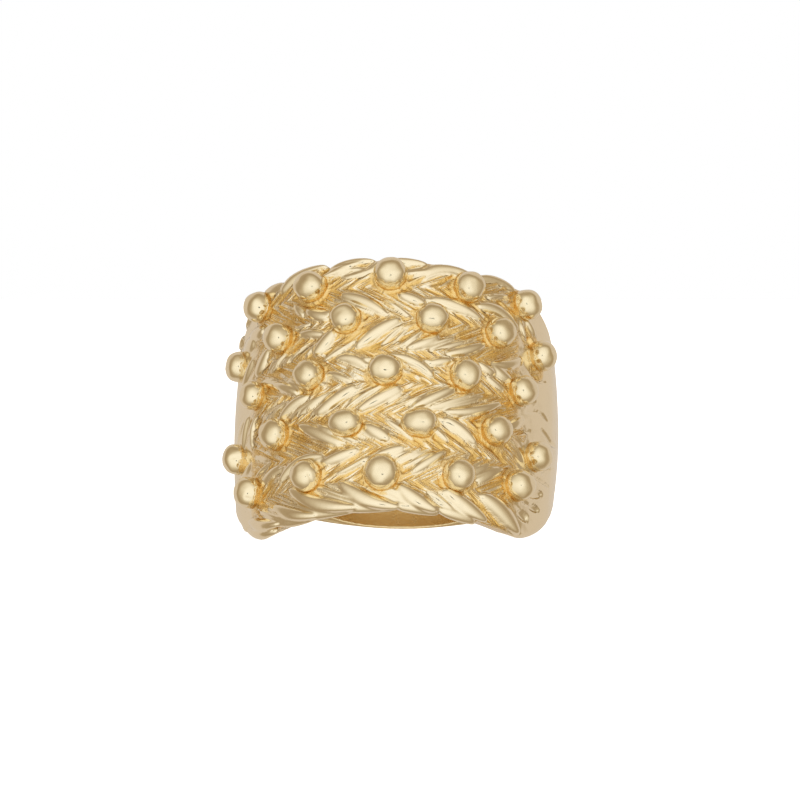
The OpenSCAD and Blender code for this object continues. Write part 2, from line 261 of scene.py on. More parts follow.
@dataclass(frozen=True)
class BandSizes:
    """The band's driving sizes in millimetres and degrees, as the part's source has them."""

    hole_r: float = 10.0
    head_wall: float = 2.55
    shank_wall: float = 1.6
    head_height: float = 21.2
    corner_reach: float = 0.5
    corner_drop: float = 0.6
    shank_height: float = 8.2
    head_half_angle: float = 53.0
    shank_half_angle: float = 111.0
    head_sag: float = 0.3
    shank_sag: float = 1.1
    head_round: float = 0.85
    shank_round: float = 0.35
    head_ease: float = 1.2
    shank_ease: float = 0.15
    thinning_from: float = 100.0
    thinning_to: float = 165.0
    fade_left: tuple[float, float] = (64.0, 82.0)
    fade_right: tuple[float, float] = (57.0, 80.0)
    worn_left: tuple[float, float] = (54.0, 68.0)
    worn_right: tuple[float, float] = (47.0, 58.0)
    plait_depth: float = 0.7
    plait_lift: float = 0.15
    stud_seat: float = -0.05

    @property
    def head_r(self) -> float:
        """Radius of the head's crests at the middle of its height."""
        return self.hole_r + self.head_wall

    @property
    def mm_per_degree(self) -> float:
        """Length of one degree on the head's outside."""
        return self.head_r * math.pi / 180.0

    def thin_share(self, angle: np.ndarray) -> np.ndarray:
        """0 where the section is the head's and 1 where it is the shank's."""
        return step(np.abs(angle), self.thinning_from, self.thinning_to)

    def rim_height(self, angle: np.ndarray, rim: Rim) -> np.ndarray:
        """How far a rim is from the middle of the band's height.

        Args:
            angle: degrees from the middle of the head.
            rim: which of the two rims.

        Returns:
            The distance in millimetres.
        """
        corner = self.corner_reach if rim is Rim.LOWER else -self.corner_drop
        head_half = self.head_height / 2 + corner * step(np.abs(angle), 0.0, self.head_half_angle)
        narrowed = step(np.abs(angle), self.head_half_angle, self.shank_half_angle)
        return mix(head_half, self.shank_height / 2, narrowed)

    def sagged_r(self, angle: np.ndarray, height: np.ndarray) -> np.ndarray:
        """Radius of the outside, on the crests.

        Args:
            angle: degrees from the middle of the head.
            height: millimetres up from the band's middle, between the rounds of the rims.

        Returns:
            The radius in millimetres.
        """
        thin = self.thin_share(angle)
        crown = mix(self.head_r, self.hole_r + self.shank_wall, thin)
        sag = mix(self.head_sag, self.shank_sag, thin)
        edge = mix(self.head_round, self.shank_round, thin)
        low = self.rim_height(angle, Rim.LOWER) - edge
        high = self.rim_height(angle, Rim.UPPER) - edge
        return crown - sag * (height / np.where(height < 0, low, high)) ** 2

    def plain_share(self, angle: np.ndarray) -> np.ndarray:
        """0 where the relief is full and 1 where the band is plain."""
        return np.maximum(step(-angle, *self.fade_left), step(angle, *self.fade_right))

    def worn_share(self, angle: np.ndarray) -> np.ndarray:
        """0 where the ground is as cast and 1 where wear has smoothed it."""
        return np.maximum(step(-angle, *self.worn_left), step(angle, *self.worn_right))


class Flow:
    """A value on its way through a node tree. Plain arithmetic on it adds the nodes."""

    def __init__(self, graph: "NodeGraph", socket: bpy.types.NodeSocket) -> None:
        """Keeps the graph and the socket that the value comes from."""
        self.graph = graph
        self.socket = socket

    def __add__(self, other: Any) -> "Flow":
        """The sum of this value and another."""
        return self.graph.math("ADD", self, other)

    def __sub__(self, other: Any) -> "Flow":
        """This value less another."""
        return self.graph.math("SUBTRACT", self, other)

    def __mul__(self, other: Any) -> "Flow":
        """The product of this value and another."""
        return self.graph.math("MULTIPLY", self, other)

    def __truediv__(self, other: Any) -> "Flow":
        """This value divided by another."""
        return self.graph.math("DIVIDE", self, other)

    def scaled(self, factor: Any, shift: Any) -> "Flow":
        """This value times a factor, and then shifted."""
        return self.graph.math("MULTIPLY_ADD", self, factor, shift)

    def rest(self) -> "Flow":
        """What this value leaves of 1, held between 0 and 1."""
        return self.graph.math("SUBTRACT", 1.0, self, clamp=True)

    def ranged(self, span: Sequence[Any], wanted: Sequence[Any] = (0.0, 1.0), eased: bool = True) -> "Flow":
        """Maps this value from one range to another.

        Args:
            span: the two ends of the first range.
            wanted: the two ends of the second range.
            eased: whether the ends are eased.

        Returns:
            The mapped value.
        """
        places = {"Value": self, "From Min": span[0], "From Max": span[1], "To Min": wanted[0],
                  "To Max": wanted[1]}
        kind = "SMOOTHSTEP" if eased else "LINEAR"
        return self.graph.value("ShaderNodeMapRange", places, interpolation_type=kind)


class NodeGraph:
    """A node tree with short calls that add nodes and join them."""

    def __init__(self, tree: bpy.types.NodeTree) -> None:
        """Keeps the tree that the calls add to."""
        self.tree = tree

    @classmethod
    def group(cls, name: str, kind: TreeKind, inputs: dict[str, Any],
              outputs: Sequence[str]) -> tuple["NodeGraph", dict[str, Flow]]:
        """Starts a node group with named sockets.

        Args:
            name: the group's name.
            kind: the kind of tree.
            inputs: each input's default value, or its kind of data if it has none, by name.
            outputs: the outputs' names.

        Returns:
            The graph, and its inputs by name.
        """
        tree = bpy.data.node_groups.new(name, kind.value[0])
        for label, value in inputs.items():
            socket_type = SOCKETS.get(type(value), f"NodeSocket{value}")
            made = tree.interface.new_socket(label, in_out="INPUT", socket_type=socket_type)
            if type(value) in SOCKETS:
                made.default_value = value
        for label in outputs:
            tree.interface.new_socket(label, in_out="OUTPUT", socket_type=kind.value[1])
        graph = cls(tree)
        return graph, dict(zip(inputs, graph.all_of("NodeGroupInput")))

    def close(self, **outputs: Flow) -> bpy.types.NodeTree:
        """Joins values to the group's outputs by name, and hands over the tree."""
        self.add("NodeGroupOutput", outputs)
        return self.tree

    def add(self, kind: str, inputs: dict[Any, Any] | None = None, **settings: Any) -> bpy.types.Node:
        """Adds a node, sets it and joins or fills its inputs.

        Args:
            kind: the node's type name.
            inputs: flows or plain values, by input name or number.
            settings: the node's own settings.

        Returns:
            The new node.
        """
        node = self.tree.nodes.new(kind)
        for name, value in settings.items():
            setattr(node, name, value)
        for key, value in (inputs or {}).items():
            if isinstance(value, Flow):
                self.tree.links.new(value.socket, node.inputs[key])
            else:
                node.inputs[key].default_value = value
        return node

    def all_of(self, kind: str, inputs: dict[Any, Any] | None = None, **settings: Any) -> list[Flow]:
        """Adds a node and hands on all its outputs."""
        return [Flow(self, socket) for socket in self.add(kind, inputs, **settings).outputs]

    def value(self, kind: str, inputs: dict[Any, Any] | None = None, output: Any = 0,
              **settings: Any) -> Flow:
        """Adds a node and hands on one of its outputs, by number or name."""
        return Flow(self, self.add(kind, inputs, **settings).outputs[output])

    def math(self, operation: str, *values: Any, clamp: bool = False) -> Flow:
        """One step of arithmetic on numbers. Clamp holds the result between 0 and 1."""
        return self.value("ShaderNodeMath", dict(enumerate(values)), operation=operation, use_clamp=clamp)

    def vector(self, operation: str, first: Any, second: Any = None) -> Flow:
        """One step of arithmetic on vectors.

        Args:
            operation: the Vector Math node's operation.
            first: the first vector.
            second: the second vector, or the number that scales the first.

        Returns:
            The result: a number for LENGTH and DOT_PRODUCT, and else a vector.
        """
        inputs = {0: first}
        if second is not None:
            inputs["Scale" if operation == "SCALE" else 1] = second
        output = "Value" if operation in ("LENGTH", "DOT_PRODUCT") else "Vector"
        return self.value("ShaderNodeVectorMath", inputs, output, operation=operation)

    def noise(self, place: Flow, scale: Any, detail: float, **more: Any) -> Flow:
        """A noise's number at a place, with the node's other inputs by name."""
        return self.value("ShaderNodeTexNoise", {"Vector": place, "Scale": scale, "Detail": detail, **more})

    def blend(self, first: Any, second: Any, share: Flow) -> Flow:
        """Mixes two colours."""
        colours = [one if isinstance(one, Flow) else (*one, 1.0) for one in (first, second)]
        return self.value("ShaderNodeMix", {0: share, 6: colours[0], 7: colours[1]}, 2, data_type="RGBA")

    def surface(self, name: str, output: str = "Fac") -> Flow:
        """What the mesh keeps under a name, in a material."""
        return self.value("ShaderNodeAttribute", output=output, attribute_name=name)

    def kept(self, name: str, kind: str = "FLOAT") -> Flow:
        """What the mesh keeps under a name, in a Geometry Nodes tree."""
        return self.value("GeometryNodeInputNamedAttribute", {"Name": name}, data_type=kind)

    def position(self) -> Flow:
        """The place of each point, in a Geometry Nodes tree."""
        return self.value("GeometryNodeInputPosition")

    def mesh_of(self, carrier: Flow) -> Flow:
        """The geometry of an object, in a Geometry Nodes tree."""
        return self.value("GeometryNodeObjectInfo", {"Object": carrier}, "Geometry")

    def store(self, geometry: Flow, name: str, value: Any) -> Flow:
        """Keeps a number on each point under a name, in a Geometry Nodes tree."""
        inputs = {"Geometry": geometry, "Name": name, "Value": value}
        return self.value("GeometryNodeStoreNamedAttribute", inputs, data_type="FLOAT", domain="POINT")

    def dress(self, geometry: Flow, material: Flow) -> bpy.types.NodeTree:
        """Ends a Geometry Nodes tree: smooth shading, instances made real and the material.

        Args:
            geometry: the piece's geometry.
            material: its finish.

        Returns:
            The finished tree.
        """
        shaded = self.value("GeometryNodeSetShadeSmooth", {"Geometry": geometry, "Shade Smooth": True})
        whole = self.value("GeometryNodeRealizeInstances", {"Geometry": shaded})
        dressed = self.value("GeometryNodeSetMaterial", {"Geometry": whole, "Material": material})
        return self.close(Geometry=dressed)


def new_mesh_object(name: str, points: np.ndarray | Sequence[Any], edges: Sequence[Any] = (),
                    faces: Sequence[Any] = (), **attributes: np.ndarray) -> bpy.types.Object:
    """Makes a mesh object with point attributes.

    Args:
        name: the object's name.
        points: places of the vertices.
        edges: pairs of vertex numbers.
        faces: vertex numbers of each face.
        attributes: a number or a vector for each vertex, by attribute name.

    Returns:
        The object, linked to the scene.
    """
    mesh = bpy.data.meshes.new(name)
    mesh.from_pydata(np.asarray(points, float).tolist(), list(edges), list(faces))
    for label, values in attributes.items():
        values = np.asarray(values, np.float32)
        kind, channel = ("FLOAT_VECTOR", "vector") if values.ndim == 2 else ("FLOAT", "value")
        mesh.attributes.new(label, kind, "POINT").data.foreach_set(channel, values.ravel())
    made = bpy.data.objects.new(name, mesh)
    bpy.context.scene.collection.objects.link(made)
    return made


def grow(host: bpy.types.Object, tree: bpy.types.NodeTree, values: dict[str, Any]) -> bpy.types.Object:
    """Runs a Geometry Nodes tree on an object and keeps the result as its plain mesh.

    Args:
        host: the object that the tree starts from.
        tree: the Geometry Nodes tree.
        values: the tree's inputs by name. Helper objects among them are removed afterwards.

    Returns:
        The same object with its new mesh and no modifier.
    """
    modifier = host.modifiers.new(tree.name, "NODES")
    modifier.node_group = tree
    for item in tree.interface.items_tree:
        if item.item_type == "SOCKET" and item.in_out == "INPUT" and item.name in values:
            modifier[item.identifier] = values[item.name]
    depsgraph = bpy.context.evaluated_depsgraph_get()
    evaluated = host.evaluated_get(depsgraph)
    mesh = bpy.data.meshes.new_from_object(evaluated, preserve_all_data_layers=True, depsgraph=depsgraph)
    host.modifiers.remove(modifier)
    host.data = mesh
    mesh.name = host.name
    for helper in values.values():
        if isinstance(helper, bpy.types.Object):
            bpy.data.objects.remove(helper, do_unlink=True)
    return host


def cast_skin_group() -> bpy.types.NodeTree:
    """The skin that casting and wear leave on the metal, as a shader group.

    Returns:
        A group with the grain's height, a mottle and fine polishing marks.
    """
    inputs = {"Grain Size": 0.16, "Mottle Size": 0.9, "Mark Scale": 1.5, "Mark Turn": (0.4, 0.2, 0.7),
              "Mark Stretch": (0.5, 9.0, 2.0)}
    graph, given = NodeGraph.group("Cast skin", TreeKind.SHADER, inputs, ("Grain", "Mottle", "Marks"))
    in_mm = graph.vector("SCALE", graph.value("ShaderNodeTexCoord", output="Object"), 1.0 / MM)
    grain = graph.noise(in_mm, graph.math("DIVIDE", 1.0, given["Grain Size"]), detail=3.0)
    mottle = graph.noise(in_mm, graph.math("DIVIDE", 1.0, given["Mottle Size"]), detail=4.0)
    stretched = graph.value("ShaderNodeMapping", {
        "Vector": in_mm, "Rotation": given["Mark Turn"], "Scale": given["Mark Stretch"]})
    marks = graph.noise(stretched, given["Mark Scale"], detail=2.0)
    return graph.close(Grain=grain, Mottle=mottle, Marks=marks)


def plait_flow(graph: NodeGraph, chart: Flow, fineness: float) -> Flow:
    """Places on the chart, drawn out along the slant that the strands have there.

    Args:
        graph: a Geometry Nodes tree or a shader's.
        chart: the place on the chart.
        fineness: how fine the pattern is that reads the places.

    Returns:
        The drawn places.
    """
    across, height, _ = graph.all_of("ShaderNodeSeparateXYZ", {0: chart})
    row_shift = graph.math("PINGPONG", height - LOWEST_ROW, ROW_HEIGHT)
    along_plait = row_shift.scaled(-STRAND_LEAN, across)
    return graph.value("ShaderNodeCombineXYZ", {
        0: along_plait * (CHANGE_ACROSS * fineness), 1: height * (CHANGE_ALONG * fineness)})


def folded_ridges(graph: NodeGraph, drawn: Flow, scale: Any, distortion: Any) -> Flow:
    """Ridges with sharp crests, where a noise folds over.

    Args:
        graph: a Geometry Nodes tree or a shader's.
        drawn: the drawn out places that the noise reads.
        scale: the noise's scale.
        distortion: how much it wanders.

    Returns:
        The ridges' height, which is 1 on their crests.
    """
    streak = graph.noise(drawn, scale, detail=2.0, Distortion=distortion)
    folded = graph.math("ABSOLUTE", streak.scaled(FOLDS, -FOLDS / 2))
    return graph.math("PINGPONG", folded, 0.5).rest()


def streak_group() -> bpy.types.NodeTree:
    """The fine ridges of the ground between the strands, as a shader group.

    Returns:
        A group with the ridges' height and the share of them that gets a painted highlight, in random
        patches.
    """
    inputs = {"Fineness": 0.6, "Distortion": 0.7, "Patch Scale": 0.9, "Patch From": 0.32, "Patch To": 0.5,
              "Bright From": 0.7, "Bright To": 0.97}
    graph, given = NodeGraph.group("Fine streaks", TreeKind.SHADER, inputs, ("Height", "Ridge"))
    chart = graph.surface("chart", "Vector")
    sharp = folded_ridges(graph, plait_flow(graph, chart, 1.0), given["Fineness"], given["Distortion"])
    patchy = graph.noise(chart, given["Patch Scale"], detail=2.0)
    # Random patches where the ridges get a painted highlight
    worn = patchy.ranged((given["Patch From"], given["Patch To"]))
    painted_glint = sharp.ranged((given["Bright From"], given["Bright To"]))
    return graph.close(Height=sharp, Ridge=painted_glint * worn)


@dataclass(frozen=True)
class GoldFinish:
    """Yellow gold: polished where wear reaches it, rougher in its hollows and browner there by painted
    shade.
    """

    name: str
    polished: tuple[float, float, float] = (0.92, 0.81, 0.57)
    cast: tuple[float, float, float] = (0.92, 0.73, 0.4)
    # Darker, more saturated gold for painted shade, in the casting's hollows and on the studs' feet
    painted_shade: tuple[float, float, float] = (0.89, 0.6, 0.2)
    # Near-white gold of the painted highlights on the ground's fine ridges
    streak_highlight: tuple[float, float, float] = (0.98, 0.9, 0.7)
    wall: tuple[float, float, float] = (0.86, 0.7, 0.42)
    polished_roughness: float = 0.1
    cast_roughness: float = 0.2
    satin_roughness: float = 0.1
    roughness_spread: float = 0.14
    spread_range: tuple[float, float] = (0.45, 0.7)
    mark_roughness: float = 0.06
    least_roughness: float = 0.05
    mottling: float = 0.4
    polished_range: tuple[float, float] = (0.1, 0.8)
    high_range: tuple[float, float] = (0.2, 0.75)
    grain_height: float = 0.05
    polished_grain: float = 0.03
    streak_height: float = 0.06

    def build(self, skin: bpy.types.NodeTree, streaks: bpy.types.NodeTree) -> bpy.types.Material:
        """Builds the material, which reads what the mesh keeps on its points.

        Args:
            skin: the shader group of the cast skin.
            streaks: the shader group of the fine ridges between the strands.

        Returns:
            The material.
        """
        material = bpy.data.materials.new(self.name)
        material.use_nodes = True
        graph = NodeGraph(material.node_tree)
        graph.tree.nodes.clear()
        grain, mottle, marks = graph.all_of("ShaderNodeGroup", node_tree=skin)
        lines, ridge_glint = graph.all_of("ShaderNodeGroup", node_tree=streaks)
        polish, rise, satin, outside, streaky = (
            graph.surface(name) for name in ("polish", "rise", "satin", "outside", "streaky"))
        uneven = mottle.scaled(self.mottling, -self.mottling / 2)
        shown = (polish + uneven).ranged(self.polished_range)
        # Painted shade: the lower the relief, the more of the darker gold
        high = (rise + uneven).ranged(self.high_range)
        bare = shown.rest() * streaky
        # Painted highlight: the fine ridges of the bare ground turn near-white
        painted_glint = ridge_glint * bare
        ground = graph.blend(graph.blend(self.painted_shade, self.cast, high), self.streak_highlight, painted_glint)
        colour = graph.blend(self.wall, graph.blend(ground, self.polished, shown), outside)
        smoothed = graph.math("MAXIMUM", shown, painted_glint)
        rough = smoothed.ranged((0.0, 1.0), (self.cast_roughness, self.polished_roughness), eased=False)
        rough = satin.scaled(self.satin_roughness, rough)
        spread = mottle.ranged(self.spread_range, (0.0, self.roughness_spread))
        marked = marks.scaled(self.mark_roughness, -self.mark_roughness / 2)
        depth = shown.ranged((0.0, 1.0), (1.0, self.polished_grain), eased=False)
        bumps = graph.value("ShaderNodeBump", {
            "Height": lines * bare, "Strength": 1.0, "Distance": self.streak_height * MM})
        bumps = graph.value("ShaderNodeBump", {
            "Height": grain * depth, "Strength": 1.0, "Distance": self.grain_height * MM, "Normal": bumps})
        shader = graph.value("ShaderNodeBsdfPrincipled", {
            "Base Color": colour, "Metallic": 1.0, "Normal": bumps,
            "Roughness": graph.math("MAXIMUM", rough + spread + marked, self.least_roughness)})
        graph.add("ShaderNodeOutputMaterial", {"Surface": shader})
        return material


@dataclass
class Casting:
    """The band with its plaited head, as one mesh whose relief is grown from the charted strands."""

    place: RingPlace
    sizes: BandSizes
    fine_from: float = -87.0
    fine_to: float = 76.0
    fine_columns: int = 372
    coarse_columns: int = 36
    edge_round: float = 0.15
    edge_steps: int = 2
    slope_steps: int = 3
    round_steps: int = 11
    face_steps: int = 196
    wall_steps: int = 6
    ridge_spacing: float = 0.6
    ridge_width: float = 0.42
    ridge_crest: float = 0.72
    ridge_shift: float = 0.08
    ridge_widths: tuple[float, float] = (0.8, 1.3)
    ridge_crests: tuple[float, float] = (0.6, 1.3)
    ridge_bow: float = 0.15
    ridged_from: float = -58.0
    ridged_to: float = 50.0
    patch_strength: float = 0.75
    lobe_middle: float = -11.0
    lobe_rise: float = 2.2
    lobe_width: float = 2.4
    seed: int = 7
    path_steps: int = 15
    taper_power: float = 0.35
    least_taper: float = 0.25
    least_top: float = 0.5
    tube_sides: int = 28
    ray_height: float = 10.0
    floor_fineness: float = 0.65

    def columns(self) -> np.ndarray:
        """The columns' places, once round the ring.

        Returns:
            Their angles in degrees, between -180 and 180.
        """
        fine = np.linspace(self.fine_from, self.fine_to, self.fine_columns, endpoint=False)
        coarse = np.linspace(self.fine_to, self.fine_from + 360.0, self.coarse_columns, endpoint=False)
        angles = np.concatenate([fine, coarse])
        return np.where(angles > 180.0, angles - 360.0, angles)

    @staticmethod
    def joined(*stretches: tuple[Any, ...]) -> np.ndarray:
        """Stretches of a section, each a radius, height, facing, along and share, as one array."""
        return np.concatenate([np.stack(np.broadcast_arrays(*stretch)) for stretch in stretches], axis=2)

    def sections(self, angle: np.ndarray) -> np.ndarray:
        """The section at each angle, from the lower inner edge round the outside and back inside.

        Args:
            angle: the columns' angles in degrees.

        Returns:
            Radius, height, facing in degrees, along and share, each with one row per column.
        """
        s = self.sizes
        angle = angle[:, None]
        thin = s.thin_share(angle)
        rim = mix(s.head_round, s.shank_round, thin)
        ease = mix(s.head_ease, s.shank_ease, thin)
        edge = np.radians(np.linspace(0, 90, self.edge_steps + 2)[1:-1])
        slope = np.linspace(0, 1, self.slope_steps, endpoint=False)
        rims, starts, feet = [], [], []
        for side in Rim:
            sign, half = side.value, s.rim_height(angle, side)
            straight = half - rim
            edge_r = s.sagged_r(angle, sign * straight) - rim
            foot = half - ease + ease / (edge_r - s.hole_r) * self.edge_round
            turn = sign * (90 - np.linspace(0, 90, self.round_steps, endpoint=False))
            radians = np.radians(turn)
            edge_z = sign * (foot - self.edge_round * (1 - np.sin(edge)))
            rims.append(self.joined(
                (s.hole_r + self.edge_round * (1 - np.cos(edge)), edge_z, 90.0 * sign, edge_z, 0.0),
                (mix(s.hole_r + self.edge_round, edge_r, slope), sign * mix(foot, half, slope),
                 90.0 * sign, sign * (straight + rim * math.pi / 2), slope),
                (edge_r + rim * np.cos(radians), sign * straight + rim * np.sin(radians),
                 turn, sign * straight + rim * radians, 1.0)))
            starts.append(sign * straight)
            feet.append(sign * (foot - self.edge_round))
        face = mix(*starts, np.linspace(0, 1, self.face_steps + 1))
        wall = mix(*feet[::-1], np.linspace(0, 1, self.wall_steps + 1))
        outside = self.joined((s.sagged_r(angle, face), face, 0.0, face, 1.0))
        inside = self.joined((s.hole_r, wall, 180.0, wall, 0.0))
        return np.concatenate([rims[0], outside, rims[1][..., ::-1], inside], axis=2)

    def band(self) -> bpy.types.Object:
        """The smooth band, with the places on the chart that its relief is read from.

        Returns:
            A closed mesh with the attributes chart, facing, share, outside and worn.
        """
        angle = self.columns()
        radius, height, facing, along, share = self.sections(angle)
        count, per = radius.shape
        angle = angle[:, None]
        turn = np.radians(angle)
        around = np.stack([np.sin(turn), -np.cos(turn), np.zeros_like(turn)], axis=-1)
        up = np.array([0.0, 0.0, 1.0])
        tilt = np.radians(facing)[..., None]
        across = np.broadcast_to(angle * self.sizes.mm_per_degree, along.shape)
        lifted = along - self.sizes.plait_lift
        as_cast = self.patch_strength * self.rough_share(across, lifted)
        numbers = np.arange(count * per).reshape(count, per)
        beside = np.roll(numbers, -1, axis=0)
        faces = np.stack([numbers, beside, np.roll(beside, -1, axis=1), np.roll(numbers, -1, axis=1)], -1)
        places = self.place.points(around * radius[..., None] + up * height[..., None])
        outward = self.place.directions(around * np.cos(tilt) + up * np.sin(tilt))
        return new_mesh_object(
            "ring_casting", places.reshape(-1, 3), faces=faces.reshape(-1, 4).tolist(),
            chart=np.stack([across, lifted, np.zeros_like(across)], axis=-1).reshape(-1, 3),
            facing=outward.reshape(-1, 3), share=(share * (1.0 - self.sizes.plain_share(angle))).ravel(),
            outside=share.ravel(), worn=(self.sizes.worn_share(angle) * (1.0 - as_cast)).ravel())

    def rough_share(self, across: np.ndarray, height: np.ndarray) -> np.ndarray:
        """Where the flank is still as cast.

        Args:
            across: the places' distance round the head from its middle, in millimetres.
            height: their height on the chart, in millimetres.

        Returns:
            1 in the middle of a rough patch and 0 outside them.
        """
        share = np.zeros_like(height)
        for angle, level, reach in ROUGH_PATCHES:
            away = np.hypot(across - angle * self.sizes.mm_per_degree, height - level)
            share = np.maximum(share, step(away, reach, reach / 2))
        return share

    def ridges(self, strands: list[tuple[float, ...]], rng: np.random.Generator) -> list[tuple[float, ...]]:
        """Thin ridges that fill the gaps between the neighbours of a row.

        Args:
            strands: the row's charted strands, from left to right.
            rng: the source of the small irregularities.

        Returns:
            Strands in the same columns.
        """
        found = []
        for here, beside in zip(strands, strands[1:]):
            gap = (beside[0] + beside[2] - here[0] - here[2]) / 2 * self.sizes.mm_per_degree
            shown = here[0] > self.ridged_from and beside[2] < self.ridged_to
            count = int(gap / self.ridge_spacing) if shown else 0
            for i in range(1, count):
                shares = i / count + rng.uniform(-self.ridge_shift, self.ridge_shift, 4)
                ends = [mix(here[k], beside[k], shares[k]) for k in range(4)]
                width = self.ridge_width * rng.uniform(*self.ridge_widths)
                crest = self.ridge_crest * rng.uniform(*self.ridge_crests)
                found.append((*ends, width, crest, rng.uniform(-self.ridge_bow, self.ridge_bow)))
        return found

    def lobes(self) -> list[tuple[float, ...]]:
        """The lobes of the lower rim, in the columns of the strands."""
        top, foot = self.lobe_middle + self.lobe_rise / 2, self.lobe_middle - self.lobe_rise / 2
        return [(left, top, right, foot, self.lobe_width, crest, 0.0) for left, right, crest in RIM_LOBES]

    def paths(self, name: str, lines: Sequence[tuple[float, ...]], depth: float) -> bpy.types.Object:
        """The middle lines of charted strands or creases.

        Args:
            name: the helper object's name.
            lines: the strands' rows, in the columns of the charts above.
            depth: the height of a crest of 1, in millimetres.

        Returns:
            A mesh of edges with the attributes thickness and top, in millimetres.
        """
        share = np.linspace(0, 1, self.path_steps)
        swell = np.sin(np.pi * share) ** self.taper_power
        points, edges, thickness, tops = [], [], [], []
        for x0, z0, x1, z1, width, crest, bow in lines:
            start = np.array([x0 * self.sizes.mm_per_degree, z0])
            end = np.array([x1 * self.sizes.mm_per_degree, z1])
            run = (end - start) / np.linalg.norm(end - start)
            bend = np.outer(4 * share * (1 - share) * bow, [-run[1], run[0]])
            middle = mix(start, end, share[:, None]) + bend
            first = len(thickness)
            points += np.column_stack([middle, np.zeros(self.path_steps)]).tolist()
            edges += [(first + i, first + i + 1) for i in range(self.path_steps - 1)]
            thickness += (width / 2 * np.maximum(swell, self.least_taper)).tolist()
            tops += (crest * depth * mix(self.least_top, 1.0, swell)).tolist()
        return new_mesh_object(name, points, edges=edges, thickness=np.array(thickness), top=np.array(tops))

    def stud_chart(self) -> bpy.types.Object:
        """The middles of the studs on the chart.

        Returns:
            A mesh of loose points with the attribute radii, in millimetres.
        """
        studs = [stud for row in STUD_ROWS for stud in row]
        points = [(stud[0] * self.sizes.mm_per_degree, stud[1], 0.0) for stud in studs]
        radii = [(stud[2] / 2 * stud[3], stud[2] / 2 * stud[4], 1.0) for stud in studs]
        return new_mesh_object("stud_chart", points, radii=np.array(radii))

    @staticmethod
    def stud_edge(graph: NodeGraph, given: dict[str, Flow], chart: Flow) -> Flow:
        """How far a place on the chart is from the nearest stud's edge.

        Args:
            graph: the Geometry Nodes tree.
            given: the tree's inputs by name.
            chart: the place on the chart.

        Returns:
            The distance in millimetres, below 0 under the stud.
        """
        dots = graph.value("GeometryNodeMeshToPoints", {"Mesh": graph.mesh_of(given["Studs"])})
        near = graph.value("GeometryNodeSampleNearest", {"Geometry": dots, "Sample Position": chart},
                           domain="POINT")
        middle, radii = (
            graph.value("GeometryNodeSampleIndex", {"Geometry": dots, "Index": near, "Value": value},
                        data_type="FLOAT_VECTOR", domain="POINT")
            for value in (graph.position(), graph.kept("radii", "FLOAT_VECTOR")))
        shares = graph.vector("DIVIDE", graph.vector("SUBTRACT", chart, middle), radii)
        return (graph.vector("LENGTH", shares) - 1.0) * given["Stud Radius"]

    def struck_height(self, graph: NodeGraph, lines: Flow, chart: Flow, fullness: Any) -> Flow:
        """The height that rays from above find over the strands.

        Args:
            graph: the Geometry Nodes tree.
            lines: the object with the strands' middle lines.
            chart: the place on the chart.
            fullness: the power that makes a strand's section fuller, below 1.

        Returns:
            The height in millimetres, 0 beside the strands.
        """
        curves = graph.value("GeometryNodeMeshToCurve", {"Mesh": graph.mesh_of(lines)})
        section = graph.value("GeometryNodeCurvePrimitiveCircle", {
            "Resolution": self.tube_sides, "Radius": 1.0})
        thickness = graph.kept("thickness")
        tubes = graph.value("GeometryNodeCurveToMesh", {
            "Curve": curves, "Profile Curve": section, "Scale": thickness})
        across, along, up = graph.all_of("ShaderNodeSeparateXYZ", {0: graph.position()})
        rise = graph.math("DIVIDE", graph.math("MAXIMUM", up, 0.0), thickness, clamp=True)
        full = graph.math("POWER", rise, fullness) * graph.kept("top")
        formed = graph.value("ShaderNodeCombineXYZ", {0: across, 1: along, 2: full})
        shaped = graph.value("GeometryNodeSetPosition", {"Geometry": tubes, "Position": formed})
        hit, where = graph.all_of("GeometryNodeRaycast", {
            "Target Geometry": shaped, "Ray Direction": (0.0, 0.0, -1.0), "Ray Length": 2 * self.ray_height,
            "Source Position": graph.vector("ADD", chart, (0.0, 0.0, self.ray_height))})[:2]
        struck = graph.all_of("ShaderNodeSeparateXYZ", {0: where})[2]
        return graph.math("MAXIMUM", struck, 0.0) * hit

    def cast_floor(self, graph: NodeGraph, given: dict[str, Flow], chart: Flow) -> Flow:
        """The rough ground between the strands: thin ridges that follow the plait, and crumbs.

        Args:
            graph: the Geometry Nodes tree.
            given: the tree's inputs by name.
            chart: the place on the chart.

        Returns:
            The ground's height in millimetres, which is lower at the rims.
        """
        drawn = plait_flow(graph, chart, self.floor_fineness)
        sharp = folded_ridges(graph, drawn, 1.0, given["Ridge Distortion"])
        crumbs = graph.noise(drawn, given["Crumb Scale"], detail=3.0, Roughness=given["Crumb Roughness"])
        ridged = graph.math("POWER", sharp, given["Ridge Power"]) * given["Ridge Height"]
        level = (crumbs - given["Crumb Level"]) * given["Crumb Height"]
        height = graph.all_of("ShaderNodeSeparateXYZ", {0: chart})[1]
        rim = graph.math("ABSOLUTE", height).ranged((given["Notch From"], given["Notch To"]))
        return rim.scaled(given["Rim Notch"] * -1.0, ridged + level)

